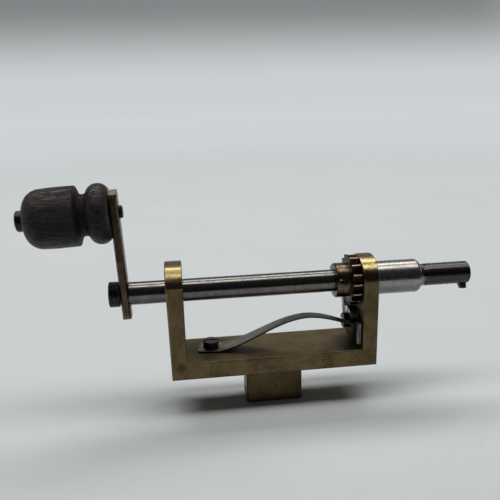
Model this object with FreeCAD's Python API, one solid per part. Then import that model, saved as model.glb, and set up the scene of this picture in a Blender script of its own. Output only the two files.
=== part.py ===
import FreeCAD, Part
import os
from math import asin, atan2, cos, degrees, radians, sin, sqrt, tan

# Bench winder for coiled mainsprings: a brass yoke, held in a vice by the tongue under it,
# carries a cranked steel arbor whose hooked nose takes the inner end of the spring.
# A ratchet wheel pinned to the arbor, a click and a leaf spring hold what has been wound.
# Millimetres. X runs along the arbor towards the nose, Z up.
# The origin is the middle of the tongue's lower face. Angles about the arbor start at +Y
# and turn towards +Z.

Vector = FreeCAD.Vector

# Yoke
yoke_length = 64.0
yoke_depth = 18.0
base_thickness = 5.6
upright_thickness = 4.7
axis_above_base = 20.3
right_arch_drop = 1.0
yoke_edge_break = 0.25

# Tongue for the vice jaws
tongue_length = 17.7
tongue_depth = 9.0
tongue_height = 12.1
tongue_edge_break = 0.4

# Fits
running_clearance = 0.05
seat_clearance = 0.02
end_play = 0.05
face_clearance = 0.05
same_place = 1e-6
cut_margin = 1.0

# Arbor
journal_diameter = 7.0
crank_overhang = 11.5
arbor_end_chamfer = 0.4
square_across = 3.6
square_short = 0.3
tapped_depth = 7.0
shoulder_diameter = 10.6
shoulder_length = 14.25
shoulder_round_length = 1.25
shoulder_round_drop = 1.5
shoulder_cut_count = 4
neck_cone_length = 1.2
groove_width = 0.95
groove_diameter = 6.5
nose_diameter = 7.1
nose_length = 14.45
nose_edge_break = 0.3

# Spring hook in the nose
hook_angle = -100.0
hook_from_end = 0.45
hook_length = 2.45
hook_height = 1.65
hook_width = 1.6
hook_rake = 0.65
hook_stem_diameter = 1.5
hook_stem_depth = 2.6

# Ratchet wheel, one piece with its hub
tooth_count = 16
wheel_diameter = 16.7
tooth_depth = 1.6
wheel_thickness = 2.7
wheel_side_gap = 0.25
hub_diameter = 10.9
hub_length = 4.35
hub_edge_break = 0.3
wheel_pin_diameter = 1.5
wheel_pin_angle = 167.0
wheel_pin_from_hub_end = 1.25
wheel_pin_edge_break = 0.25

# Click: its beak rests part of the way up the back of a tooth
beak_angle = -44.3
beak_ride = 0.72
beak_clearance = 0.03
beak_face = 1.4
beak_tooth_gap = 0.12
beak_front_share = 0.95
click_thickness = 2.5
click_side_gap = 0.2
click_pivot_y = -0.5
click_pivot_drop = 13.5
click_body_radius = 4.6
click_body_back_angle = -10.0
click_body_low_angle = -100.0
click_body_front_angle = 160.0
click_body_high_angle = 50.0
click_back_reach = 6.4
click_back_rise = 2.9
tail_reach = 7.5
tail_foot_gap = 1.1
tail_corner = 0.7
tail_lip_width = 0.85
tail_lip_height = 1.35
tail_seat_drop = 12.88
tail_seat_length = 2.0
tail_end_thickness = 1.5
tail_thin_length = 2.2

# Slotted screws
click_screw_head_diameter = 4.9
click_screw_head_height = 1.6
click_screw_shank_diameter = 3.0
click_screw_thread_diameter = 2.4
click_screw_thread_length = 3.6
spring_screw_head_diameter = 5.0
spring_screw_head_height = 2.4
spring_screw_thread_diameter = 2.4
spring_screw_thread_length = 4.4
crank_screw_head_diameter = 7.7
crank_screw_head_height = 3.2
crank_screw_foot_break = 0.3
crank_screw_thread_diameter = 2.4
crank_screw_thread_length = 6.0
slot_width = 0.8
slot_depth = 0.9
head_edge_break = 0.25

# Leaf spring: places are measured along the blade from its screw and up from the base
spring_screw_x = -19.4
spring_screw_y = 0.4
spring_tip_x = 25.9
spring_tip_y = -6.2
spring_thickness = 0.55
spring_foot_behind = 3.8
spring_foot_ahead = 2.8
spring_foot_width = 6.8
spring_foot_slope = 0.19
spring_tip_width = 1.7
spring_tip_slope = -0.18
spring_crest_run = 31.3
spring_crest_height = 10.5
blade_steps = 8

# Crank
crank_throw = 25.0
crank_angle = -5.8
crank_lean = 2.75
arm_thickness = 2.5
arm_width = 5.5
arm_edge_break = 0.45
arm_beyond_arbor = 7.35
arm_foot_bevel_height = 1.0
arm_foot_bevel_depth = 0.5
arm_beyond_pin = 6.7
arm_tip_height = 2.9
arm_tip_depth = 1.85
arm_tip_middle_height = 1.4
arm_tip_middle_depth = 0.55
spot_face_depth = 0.22
spot_face_margin = 0.3

# Handle pin, riveted over behind the arm
pin_shank_diameter = 3.8
pin_tail_diameter = 2.6
pin_head_diameter = 6.2
pin_head_height = 2.2
pin_rivet_height = 1.1
pin_edge_break = 0.3

# Turned knob: a barrel, a neck and a bead against the arm, measured outwards from the arm
knob_length = 24.6
knob_end_gap = 0.1
barrel_diameter = 17.95
barrel_taper = 0.3
barrel_start_run = 9.8
barrel_corner = 0.5
barrel_dome_length = 5.0
barrel_end_diameter = 7.0
neck_diameter = 12.4
neck_run = 7.5
neck_side_run = 1.1
neck_side_rise = 0.45
bead_diameter = 18.1
bead_top_run = 3.4
bead_face_diameter = 14.8
bead_cut_count = 11
neck_cut_count = 5
dome_cut_count = 7
knob_bore_clearance = 0.08

# Places that follow from the sizes
base_underside = tongue_height
base_top = base_underside + base_thickness
axis_height = base_top + axis_above_base
half_length = yoke_length / 2
half_depth = yoke_depth / 2
right_inner_face = half_length - upright_thickness
crank_seat_x = -half_length - crank_overhang
crank_screw_seat_radius = crank_screw_head_diameter / 2 - crank_screw_foot_break
arm_outer_face_x = crank_seat_x - arm_thickness / cos(radians(crank_lean))
crank_screw_seat_x = arm_outer_face_x - crank_screw_seat_radius * tan(radians(crank_lean)) - seat_clearance
shoulder_start_x = half_length + end_play
shoulder_end_x = shoulder_start_x + shoulder_length
groove_start_x = shoulder_end_x + shoulder_round_length + neck_cone_length
nose_start_x = groove_start_x + groove_width
arbor_end_x = nose_start_x + nose_length
wheel_right_x = right_inner_face - wheel_side_gap
wheel_left_x = wheel_right_x - wheel_thickness
hub_left_x = wheel_left_x - hub_length
click_right_x = right_inner_face - click_side_gap
click_left_x = click_right_x - click_thickness
wheel_radius = wheel_diameter / 2
root_radius = wheel_radius - tooth_depth
tooth_pitch = 360.0 / tooth_count
tooth_face_angle = beak_angle + beak_ride * tooth_pitch


def axis_point(x, y=0.0, z=0.0):
    """A point given from the arbor's axis."""
    return Vector(x, y, axis_height + z)


def polar(x, radius, angle):
    """A point at a radius and an angle about the arbor's axis."""
    return axis_point(x, radius * cos(radians(angle)), radius * sin(radians(angle)))


def line(a, b):
    return Part.LineSegment(a, b).toShape()


def arc(a, middle, b):
    return Part.Arc(a, middle, b).toShape()


def turned(a, middle, b, cuts):
    """An arc as a row of short straight cuts, which mesh far more lightly once they are turned."""
    bow = Part.Arc(a, middle, b)
    share = (bow.LastParameter - bow.FirstParameter) / cuts
    points = [bow.value(bow.FirstParameter + share * cut) for cut in range(cuts + 1)]
    return [line(p, q) for p, q in zip(points, points[1:])]


def closed_path(points):
    """Straight edges through the points and back to the first."""
    return Part.Wire([line(a, b) for a, b in zip(points, points[1:] + points[:1])])


def prism(wire, direction):
    return Part.Face(wire).extrude(direction)


def rod(diameter, start, end):
    """A round bar between two points."""
    along = end - start
    return Part.makeCylinder(diameter / 2, along.Length, start, along)


def slotted_head(diameter, height, seat, outward, slot_along):
    """A cheese head that stands on its seat, with a screwdriver slot across the top."""
    head = rod(diameter, seat, seat + outward * height)
    rim = [e for e in head.Edges if abs((e.CenterOfMass - seat).dot(outward) - height) < same_place]
    head = head.makeChamfer(head_edge_break, rim)
    across = outward.cross(slot_along)
    corner = seat + outward * (height - slot_depth) - slot_along * diameter - across * (slot_width / 2)
    path = [corner, corner + slot_along * 2 * diameter]
    path += [path[1] + across * slot_width, corner + across * slot_width]
    return head.cut(prism(closed_path(path), outward * (2 * slot_depth)))


def upright_profile(x, drop):
    """An upright's outline with its round top, in the plane at x."""
    shoulder = axis_height - drop
    foot = [Vector(x, half_depth, shoulder), Vector(x, half_depth, base_underside)]
    foot += [Vector(x, -half_depth, base_underside), Vector(x, -half_depth, shoulder)]
    edges = [line(a, b) for a, b in zip(foot, foot[1:])]
    edges.append(arc(foot[3], Vector(x, 0, shoulder + half_depth), foot[0]))
    return Part.Wire(edges)


def make_yoke():
    """Base bar and two round-topped uprights in one piece, bored for the arbor."""
    corner = Vector(-half_length, -half_depth, base_underside)
    yoke = Part.makeBox(yoke_length, yoke_depth, base_thickness, corner)
    for x, drop in ((-half_length, 0.0), (right_inner_face, right_arch_drop)):
        yoke = yoke.fuse(prism(upright_profile(x, drop), Vector(upright_thickness, 0, 0)))
    yoke = yoke.removeSplitter()
    outer = [e for e in yoke.Edges if is_outer_edge(e)]
    yoke = yoke.makeChamfer(yoke_edge_break, outer)
    bore = journal_diameter + 2 * running_clearance
    yoke = yoke.cut(rod(bore, axis_point(-yoke_length), axis_point(yoke_length)))
    yoke = yoke.cut(click_screw_thread(seat_clearance))
    return yoke.cut(spring_screw_thread(seat_clearance))


def is_outer_edge(edge):
    """True for the edges of the yoke that its maker broke with a file."""
    middle = edge.valueAt((edge.FirstParameter + edge.LastParameter) / 2)
    on_side = abs(abs(middle.y) - half_depth) < same_place
    on_arch = middle.z > axis_height
    inner_corner = abs(middle.z - base_top) < same_place and abs(middle.y) < half_depth / 2
    return (on_side or on_arch) and not inner_corner


def make_tongue():
    """The block under the base that the vice grips."""
    corner = Vector(-tongue_length / 2, -tongue_depth / 2, 0)
    block = Part.makeBox(tongue_length, tongue_depth, tongue_height, corner)
    low = [e for e in block.Edges if e.CenterOfMass.z < tongue_height - tongue_edge_break]
    return block.makeChamfer(tongue_edge_break, low)


def arbor_outline():
    """Half the arbor's section, from the crank seat to the nose."""
    r_journal = journal_diameter / 2
    r_shoulder = shoulder_diameter / 2
    r_round = r_shoulder - shoulder_round_drop
    r_groove = groove_diameter / 2
    r_nose = nose_diameter / 2
    seat = crank_seat_x - spot_face_depth
    points = [axis_point(seat), axis_point(seat, 0, r_journal - arbor_end_chamfer)]
    points += [axis_point(seat + arbor_end_chamfer, 0, r_journal)]
    points += [axis_point(shoulder_start_x, 0, r_journal), axis_point(shoulder_start_x, 0, r_shoulder)]
    points += [axis_point(shoulder_end_x, 0, r_shoulder)]
    edges = [line(a, b) for a, b in zip(points, points[1:])]
    shoulder_tip = axis_point(shoulder_end_x + shoulder_round_length, 0, r_round)
    bulge = 1 - sqrt(0.5)
    middle = axis_point(
        shoulder_end_x + shoulder_round_length * sqrt(0.5), 0, r_shoulder - shoulder_round_drop * bulge
    )
    edges += turned(points[-1], middle, shoulder_tip, shoulder_cut_count)
    tail = [shoulder_tip, axis_point(groove_start_x, 0, r_nose), axis_point(groove_start_x, 0, r_groove)]
    tail += [axis_point(nose_start_x, 0, r_groove), axis_point(nose_start_x, 0, r_nose)]
    tail += [axis_point(arbor_end_x - nose_edge_break, 0, r_nose)]
    tail += [axis_point(arbor_end_x, 0, r_nose - nose_edge_break), axis_point(arbor_end_x), points[0]]
    edges += [line(a, b) for a, b in zip(tail, tail[1:])]
    return Part.Wire(edges)


def square_bar(across, start_x, length):
    """A square bar on the arbor's axis, turned to the crank's angle."""
    corner = axis_point(start_x, -across / 2, -across / 2)
    bar = Part.makeBox(length, across, across, corner)
    return bar.rotate(axis_point(0), Vector(1, 0, 0), crank_angle)


def make_arbor():
    """The steel spindle: crank seat, journal, shoulder, neck groove and nose."""
    arbor = Part.Face(arbor_outline()).revolve(axis_point(0), Vector(1, 0, 0), 360)
    reach = crank_seat_x - spot_face_depth - crank_screw_seat_x - square_short
    seat = crank_seat_x - spot_face_depth
    arbor = arbor.fuse(square_bar(square_across, seat - reach, reach + tapped_depth / 2))
    bore = crank_screw_thread_diameter + 2 * seat_clearance
    arbor = arbor.cut(rod(bore, axis_point(seat - arm_thickness), axis_point(seat + tapped_depth)))
    arbor = arbor.cut(wheel_pin_bar(seat_clearance))
    return arbor.cut(hook_stem(seat_clearance))


def hook_axis():
    """Where the hook's stem leaves the nose's axis, and its direction."""
    foot = axis_point(arbor_end_x - hook_from_end - hook_length / 2)
    outward = Vector(0, cos(radians(hook_angle)), sin(radians(hook_angle)))
    return foot, outward


def hook_stem(clearance):
    """The stem that is pressed into the nose."""
    foot, outward = hook_axis()
    r_nose = nose_diameter / 2
    start = foot + outward * (r_nose - hook_stem_depth - clearance)
    return rod(hook_stem_diameter + 2 * clearance, start, foot + outward * (r_nose + hook_height / 2))


def make_hook():
    """A raked tooth on the nose that catches the hole in the spring's inner end."""
    foot, outward = hook_axis()
    along = Vector(1, 0, 0)
    across = outward.cross(along)
    r_nose = nose_diameter / 2
    back = foot - along * (hook_length / 2) - across * (hook_width / 2)
    root = r_nose * cos(asin(hook_width / nose_diameter))
    points = [back + outward * root, back + outward * (r_nose + hook_height) + along * hook_rake]
    points += [back + outward * (r_nose + hook_height) + along * hook_length]
    points += [back + outward * root + along * hook_length]
    tooth = prism(closed_path(points), across * hook_width)
    nose = rod(nose_diameter + 2 * seat_clearance, axis_point(nose_start_x), axis_point(arbor_end_x))
    return tooth.cut(nose).fuse(hook_stem(0.0)).removeSplitter()


def make_wheel():
    """Ratchet teeth with one radial face each, and the hub beside them."""
    points = []
    for tooth in range(tooth_count):
        angle = tooth_face_angle + tooth * tooth_pitch
        points.append(polar(wheel_left_x, root_radius, angle))
        points.append(polar(wheel_left_x, wheel_radius, angle))
    wheel = prism(closed_path(points), Vector(wheel_thickness, 0, 0))
    hub = rod(hub_diameter, axis_point(hub_left_x), axis_point(wheel_right_x))
    rim = [e for e in hub.Edges if abs(e.CenterOfMass.x - hub_left_x) < same_place]
    wheel = wheel.fuse(hub.makeChamfer(hub_edge_break, rim)).removeSplitter()
    bore = journal_diameter + 2 * seat_clearance
    ends = [axis_point(hub_left_x - cut_margin), axis_point(wheel_right_x + cut_margin)]
    wheel = wheel.cut(rod(bore, ends[0], ends[1]))
    return wheel.cut(wheel_pin_bar(seat_clearance))


def wheel_pin_bar(clearance):
    """The pin through hub and arbor, close to the hub's end."""
    x = hub_left_x + wheel_pin_from_hub_end
    reach = hub_diameter / 2 + clearance
    ends = [polar(x, reach, wheel_pin_angle), polar(x, reach, wheel_pin_angle + 180)]
    return rod(wheel_pin_diameter + 2 * clearance, ends[0], ends[1])


def make_wheel_pin():
    """The cross pin, its ends broken with a file."""
    pin = wheel_pin_bar(0.0)
    ends = [e for e in pin.Edges if isinstance(e.Curve, Part.Circle)]
    return pin.makeChamfer(wheel_pin_edge_break, ends)


def click_outline(x):
    """The click's outline: beak, back, round body and the tail that the leaf presses."""
    pivot = axis_point(x, click_pivot_y, -click_pivot_drop)

    def body(angle, radius=click_body_radius):
        return pivot + Vector(0, radius * cos(radians(angle)), radius * sin(radians(angle)))

    body_back = body(click_body_back_angle)
    body_under = body((click_body_back_angle + click_body_low_angle) / 2)
    body_low = body(click_body_low_angle)
    body_front = body(click_body_front_angle)
    body_over = body((click_body_front_angle + click_body_high_angle) / 2)
    body_high = body(click_body_high_angle)
    tip_radius = root_radius + beak_ride * tooth_depth + beak_clearance
    tip = polar(x, tip_radius, beak_angle)
    heel = polar(x, tip_radius + beak_face, beak_angle)
    clear_angle = beak_angle - beak_front_share * (1 - beak_ride) * tooth_pitch
    clear = polar(x, wheel_radius + beak_tooth_gap, clear_angle)
    back = pivot + Vector(0, click_back_reach, click_back_rise)
    front_y = click_pivot_y - tail_reach
    foot_z = tail_foot_gap - axis_above_base
    seat_z = -tail_seat_drop
    lip_z = seat_z + tail_lip_height
    front_low = axis_point(x, front_y, foot_z)
    front_high = axis_point(x, front_y, lip_z)
    seat_front = axis_point(x, front_y + tail_lip_width, seat_z)
    seat_back = axis_point(x, front_y + tail_lip_width + tail_seat_length, seat_z)
    up = Vector(0, 0, 1)
    inward = Vector(0, 1, 0)
    turn = tail_corner * (1 - sqrt(0.5))
    edges = [line(tip, heel), arc(heel, back, body_back), arc(body_back, body_under, body_low)]
    edges.append(line(body_low, front_low + inward * tail_corner))
    edges.append(
        arc(
            front_low + inward * tail_corner,
            front_low + inward * turn + up * turn,
            front_low + up * tail_corner,
        )
    )
    edges.append(line(front_low + up * tail_corner, front_high - up * tail_corner))
    edges.append(
        arc(
            front_high - up * tail_corner,
            front_high + inward * turn - up * turn,
            front_high + inward * tail_corner,
        )
    )
    lip_back = front_high + inward * tail_lip_width
    edges.append(line(front_high + inward * tail_corner, lip_back))
    edges += [line(lip_back, seat_front), line(seat_front, seat_back), line(seat_back, body_front)]
    edges += [arc(body_front, body_over, body_high), line(body_high, clear), line(clear, tip)]
    return Part.Wire(edges)


def tail_wedge():
    """What is filed off the click's left face to thin its tail towards the end."""
    front_y = click_pivot_y - tail_reach
    thinned_x = click_right_x - tail_end_thickness
    points = [(click_left_x, front_y + tail_thin_length), (thinned_x, front_y)]
    points += [(thinned_x, front_y - cut_margin), (click_left_x - cut_margin, front_y - cut_margin)]
    points += [(click_left_x - cut_margin, front_y + tail_thin_length)]
    outline = closed_path([axis_point(x, y, -axis_above_base) for x, y in points])
    return prism(outline, Vector(0, 0, axis_above_base))


def make_click():
    """The steel pawl that turns on its shouldered screw."""
    click = prism(click_outline(click_left_x), Vector(click_thickness, 0, 0)).cut(tail_wedge())
    bore = click_screw_shank_diameter + 2 * running_clearance
    pivot = axis_point(0, click_pivot_y, -click_pivot_drop)
    reach = Vector(yoke_length, 0, 0)
    return click.cut(rod(bore, pivot - reach, pivot + reach))


def click_screw_thread(clearance):
    """The thread, or its hole, in the right upright."""
    pivot = axis_point(right_inner_face, click_pivot_y, -click_pivot_drop)
    end = pivot + Vector(click_screw_thread_length + clearance, 0, 0)
    return rod(click_screw_thread_diameter + 2 * clearance, pivot, end)


def make_click_screw():
    """Shouldered screw: slotted head, plain shank for the click, thread."""
    shank_start = axis_point(click_left_x - face_clearance, click_pivot_y, -click_pivot_drop)
    shank_end = axis_point(right_inner_face, click_pivot_y, -click_pivot_drop)
    outward = Vector(-1, 0, 0)
    slot_along = Vector(0, 1, 0)
    head = slotted_head(
        click_screw_head_diameter, click_screw_head_height, shank_start, outward, slot_along
    )
    screw = head.fuse(rod(click_screw_shank_diameter, shank_start, shank_end))
    return screw.fuse(click_screw_thread(0.0)).removeSplitter()


def spring_length():
    """Distance in plan from the spring's screw to its tip."""
    return sqrt((spring_tip_x - spring_screw_x) ** 2 + (spring_tip_y - spring_screw_y) ** 2)


def tip_underside():
    """Height of the spring's underside at the tip, over the base: on the click's tail."""
    return axis_above_base - tail_seat_drop + seat_clearance


def blade_curve(offset):
    """The blade's edge line beyond its foot, moved square to itself by offset."""
    guide = [Vector(spring_foot_ahead, 0, 0), Vector(spring_crest_run, 0, spring_crest_height)]
    guide += [Vector(spring_length(), 0, tip_underside())]
    curve = Part.BSplineCurve()
    curve.interpolate(
        Points=guide,
        InitialTangent=Vector(1, 0, spring_foot_slope),
        FinalTangent=Vector(1, 0, spring_tip_slope),
    )
    if offset == 0:
        return curve
    moved = []
    span = curve.LastParameter - curve.FirstParameter
    for step in range(blade_steps + 1):
        at = curve.FirstParameter + span * step / blade_steps
        tangent = curve.tangent(at)[0]
        moved.append(curve.value(at) + Vector(-tangent.z, 0, tangent.x) * offset)
    lifted = Part.BSplineCurve()
    lifted.interpolate(
        Points=moved,
        InitialTangent=curve.tangent(curve.FirstParameter)[0],
        FinalTangent=curve.tangent(curve.LastParameter)[0],
    )
    return lifted


def make_click_spring():
    """A leaf, flat under its screw, that bends up, arches over and tapers to the click's tail."""
    under = blade_curve(0)
    over = blade_curve(spring_thickness)
    lift = Vector(0, 0, spring_thickness)
    heel = Vector(-spring_foot_behind, 0, 0)
    edges = [line(heel, under.StartPoint), under.toShape(), line(under.EndPoint, over.EndPoint)]
    edges += [over.toShape(), line(over.StartPoint, heel + lift), line(heel + lift, heel)]
    blade = Part.Face(Part.Wire(edges)).extrude(Vector(0, spring_foot_width, 0))
    blade.translate(Vector(0, -spring_foot_width / 2, 0))
    half_foot = spring_foot_width / 2
    half_tip = spring_tip_width / 2
    reach = spring_length() + spring_thickness
    plan = [Vector(-spring_foot_behind, -half_foot, 0), Vector(spring_foot_ahead, -half_foot, 0)]
    plan += [Vector(reach, -half_tip, 0), Vector(reach, half_tip, 0)]
    plan += [Vector(spring_foot_ahead, half_foot, 0), Vector(-spring_foot_behind, half_foot, 0)]
    plan_prism = prism(closed_path(plan), Vector(0, 0, 2 * spring_crest_height))
    blade = blade.common(plan_prism)
    hole = spring_screw_thread_diameter + 2 * running_clearance
    blade = blade.cut(rod(hole, Vector(0, 0, -cut_margin), Vector(0, 0, spring_thickness + cut_margin)))
    skew = degrees(atan2(spring_tip_y - spring_screw_y, spring_tip_x - spring_screw_x))
    blade.rotate(Vector(0, 0, 0), Vector(0, 0, 1), skew)
    blade.translate(Vector(spring_screw_x, spring_screw_y, base_top))
    return blade


def spring_screw_thread(clearance):
    """The thread, or its hole, in the base."""
    top = Vector(spring_screw_x, spring_screw_y, base_top + spring_thickness)
    end = Vector(spring_screw_x, spring_screw_y, base_top - spring_screw_thread_length - clearance)
    return rod(spring_screw_thread_diameter + 2 * clearance, top, end)


def make_spring_screw():
    """Slotted screw that clamps the leaf's foot to the base."""
    seat = Vector(spring_screw_x, spring_screw_y, base_top + spring_thickness)
    head = slotted_head(
        spring_screw_head_diameter, spring_screw_head_height, seat, Vector(0, 0, 1), Vector(1, 0, 0)
    )
    return head.fuse(spring_screw_thread(0.0)).removeSplitter()


def lean_and_swing(shape):
    """From the crank's own place, upright on the arbor's end, to its leaning and turned one."""
    shape.rotate(axis_point(crank_seat_x), Vector(0, 1, 0), -crank_lean)
    shape.rotate(axis_point(crank_seat_x), Vector(1, 0, 0), crank_angle)
    return shape


def arm_outline(x):
    """The arm's outline seen along the arbor: filed round in facets at the knob end."""
    half = arm_width / 2
    low = -arm_beyond_arbor
    high = crank_throw + arm_beyond_pin
    side = [(half - arm_foot_bevel_depth, low), (half, low + arm_foot_bevel_height)]
    side += [(half, high - arm_tip_height)]
    side += [(half - arm_tip_middle_depth, high - arm_tip_middle_height)]
    side += [(half - arm_tip_depth, high)]
    points = [axis_point(x, y, z) for y, z in side]
    points += [axis_point(x, -y, z) for y, z in reversed(side)]
    return closed_path(points)


def make_crank_arm():
    """Flat bar that leans outwards, spot-faced on its inner side for the arbor's end."""
    arm = prism(arm_outline(crank_seat_x - arm_thickness), Vector(arm_thickness, 0, 0))
    long_edges = [e for e in arm.Edges if e.Length > crank_throw]
    arm = lean_and_swing(arm.makeChamfer(arm_edge_break, long_edges))
    inner_seat = axis_point(crank_seat_x - spot_face_depth)
    reach = Vector(arm_thickness, 0, 0)
    arm = arm.cut(rod(journal_diameter + 2 * spot_face_margin, inner_seat, inner_seat + reach))
    hole = square_across + 2 * running_clearance
    arm = arm.cut(square_bar(hole, crank_seat_x - 2 * arm_thickness, 4 * arm_thickness))
    return arm.cut(pin_tail(seat_clearance))


def make_crank_screw():
    """Large slotted screw that holds the arm on the arbor's square."""
    seat = axis_point(crank_screw_seat_x)
    head = slotted_head(
        crank_screw_head_diameter, crank_screw_head_height, seat, Vector(-1, 0, 0), Vector(0, 0, 1)
    )
    rim = [e for e in head.Edges if (e.CenterOfMass - seat).Length < same_place]
    head = head.makeChamfer(crank_screw_foot_break, rim)
    end = seat + Vector(crank_screw_thread_length, 0, 0)
    return head.fuse(rod(crank_screw_thread_diameter, seat, end)).removeSplitter()


def pin_point(outward):
    """A point on the handle pin's axis, at a distance outwards from the arm's outer face."""
    return axis_point(crank_seat_x - arm_thickness - outward, 0, crank_throw)


def pin_tail(clearance):
    """The thin end of the handle pin, or its hole, through the arm."""
    tail = rod(pin_tail_diameter + 2 * clearance, pin_point(0), pin_point(-arm_thickness))
    return lean_and_swing(tail)


def make_handle_pin():
    """Headed pin that the knob turns on, riveted over behind the arm."""
    shank_end = knob_length + knob_end_gap
    head = rod(pin_head_diameter, pin_point(shank_end), pin_point(shank_end + pin_head_height))
    head = head.makeChamfer(pin_edge_break, outer_rim(head, shank_end + pin_head_height))
    rivet = rod(pin_shank_diameter, pin_point(-arm_thickness), pin_point(-arm_thickness - pin_rivet_height))
    rivet = rivet.makeChamfer(pin_edge_break, outer_rim(rivet, -arm_thickness - pin_rivet_height))
    pin = head.fuse([rod(pin_shank_diameter, pin_point(0), pin_point(shank_end)), rivet])
    return lean_and_swing(pin.removeSplitter()).fuse(pin_tail(0.0)).removeSplitter()


def outer_rim(shape, outward):
    """The edges of a turned piece at one place along the handle pin."""
    x = pin_point(outward).x
    return [e for e in shape.Edges if abs(e.CenterOfMass.x - x) < same_place]


def make_knob():
    """Turned hardwood knob, bored for its pin."""

    def at(outward, radius):
        return pin_point(outward) + Vector(0, 0, radius)

    r_bore = pin_shank_diameter / 2 + knob_bore_clearance
    r_barrel = barrel_diameter / 2
    r_neck = neck_diameter / 2
    r_side = r_neck + neck_side_rise
    r_end = barrel_end_diameter / 2
    r_dome = r_barrel - barrel_taper / 2
    half_turn = sqrt(0.5)
    face = at(knob_end_gap, bead_face_diameter / 2)
    bead_end = at(neck_run - neck_side_run, r_side)
    neck_end = at(neck_run + neck_side_run, r_side)
    corner_low = at(barrel_start_run - barrel_corner, r_barrel - barrel_corner)
    corner_high = at(barrel_start_run, r_barrel)
    dome_start = knob_length - barrel_dome_length
    dome_high = at(dome_start, r_dome)
    dome_middle = at(dome_start + barrel_dome_length * half_turn, r_end + (r_dome - r_end) * half_turn)
    dome_low = at(knob_length, r_end)
    edges = [line(at(knob_end_gap, r_bore), face)]
    edges += turned(face, at(bead_top_run, bead_diameter / 2), bead_end, bead_cut_count)
    edges += turned(bead_end, at(neck_run, r_neck), neck_end, neck_cut_count)
    edges += [line(neck_end, corner_low), line(corner_low, corner_high), line(corner_high, dome_high)]
    edges += turned(dome_high, dome_middle, dome_low, dome_cut_count)
    edges.append(line(dome_low, at(knob_length, r_bore)))
    edges.append(line(at(knob_length, r_bore), at(knob_end_gap, r_bore)))
    profile = Part.Face(Part.Wire(edges))
    return lean_and_swing(profile.revolve(pin_point(0), Vector(1, 0, 0), 360))


os.makedirs("parts", exist_ok=True)
nodes = {
    "yoke_frame": make_yoke,
    "vise_tongue": make_tongue,
    "arbor": make_arbor,
    "arbor_hook": make_hook,
    "ratchet_wheel": make_wheel,
    "wheel_pin": make_wheel_pin,
    "click": make_click,
    "click_screw": make_click_screw,
    "click_spring": make_click_spring,
    "spring_screw": make_spring_screw,
    "crank_arm": make_crank_arm,
    "crank_screw": make_crank_screw,
    "handle_pin": make_handle_pin,
    "handle_knob": make_knob,
}
for name, make in nodes.items():
    solid = make()
    solid.exportStep("parts/" + name + ".step")
    print(name, solid.isValid(), len(solid.Solids), round(solid.Volume, 2))
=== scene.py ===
import bmesh
import bpy
import numpy as np
from mathutils import Matrix, Vector


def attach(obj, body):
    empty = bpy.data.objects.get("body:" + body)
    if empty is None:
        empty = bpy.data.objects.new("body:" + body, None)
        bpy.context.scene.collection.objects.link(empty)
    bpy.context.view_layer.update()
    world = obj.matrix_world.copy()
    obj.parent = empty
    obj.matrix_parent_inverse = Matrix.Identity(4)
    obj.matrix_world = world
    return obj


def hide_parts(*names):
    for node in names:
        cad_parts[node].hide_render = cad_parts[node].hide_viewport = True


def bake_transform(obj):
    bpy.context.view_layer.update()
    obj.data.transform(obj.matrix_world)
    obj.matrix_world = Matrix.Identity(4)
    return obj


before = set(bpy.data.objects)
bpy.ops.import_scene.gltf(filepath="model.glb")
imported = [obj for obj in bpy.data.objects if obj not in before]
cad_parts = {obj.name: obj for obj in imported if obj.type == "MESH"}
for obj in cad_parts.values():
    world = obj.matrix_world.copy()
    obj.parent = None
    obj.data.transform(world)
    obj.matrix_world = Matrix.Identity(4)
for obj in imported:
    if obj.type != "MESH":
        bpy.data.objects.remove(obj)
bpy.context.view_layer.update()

# Bench winder for coiled mainsprings: finishes, worn edges, the turned knob, the bent leaf
# spring, floor and light. The floor's and lamps' sizes are in metres. The object's sizes, the
# camera's place and the inside of the materials are in millimetres, where a pattern's scale is
# easier to read.

MM = 0.001
ALONG_X = (1, 0, 0)
UPWARDS = (0, 0, 1)

AXIS_HEIGHT = 38.0
HALF_DEPTH = 9.0
HALF_LENGTH = 32.0
BASE_TOP = 17.7
BASE_UNDERSIDE = 12.1
INNER_FACE = 27.3

# Left and right upright: height of the top, height where the worn round starts, and the lean as
# its shift along X and the heights between which it grows.
ARCH_TOPS = (47.0, 46.0)
ARCH_STARTS = (40.8, 39.35)
ARCH_LEANS = ((-0.5, 30, 46), (0.35, 42.8, 46))
OUTSIDE_BORE = 5.0

# Marks that the photograph shows in places of their own: pits by centre and size, a stain, oil
# under the leaf, and a patch of painted shade in the inner corner.
FRONT_PITS = (((14.6, -9, 15.2), 0.35), ((-8.8, -9, 16.9), 0.3), ((0.8, -4.5, 5.1), 0.4))
FRONT_STAIN = (-28.9, -9, 16.4)
OIL_UNDER_LEAF = (-19.4, 0.0, BASE_TOP)
CORNER_SHADE_PLACE = (26.0, -3.0, BASE_TOP)

SHOULDER_START = 32.05
SHOULDER_END = 46.3
GROOVE_START = 48.75
NOSE_START = 49.7
HUB_START = 20.0
HUB_RADIUS = 5.45
WHEEL_FACE = 24.35
WHEEL_RADIUS = 8.35
TIP_FLAT = 0.3

# Faces of the click along X, and the soft steps at which pieces are filed or worn bright.
CLICK_FACES = (24.6, 27.1)
BEAK_HEIGHTS = (26.0, 28.0)
TAIL_DEPTHS = (-7.9, -7.6)
CRANK_FOOT_HEIGHTS = (30.2, 30.9)
CRANK_TOP_HEIGHTS = (66.2, 67.0)

# Lines that round pieces stand on: a place on each, and the direction where it isn't X or Z.
ARBOR_PLACE = (0, 0, AXIS_HEIGHT)
CLICK_PIVOT = (24.0, -0.5, 24.5)
WHEEL_PIN_PLACE = (21.25, 0, AXIS_HEIGHT)
WHEEL_PIN_AXIS = (0, 0.9744, -0.225)
KNOB_PLACE = (-47.1966, 2.5114, 62.724)
KNOB_AXIS = (-0.998848, -0.004848, -0.047733)


# ---------------------------------------------------------------- surfaces


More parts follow.
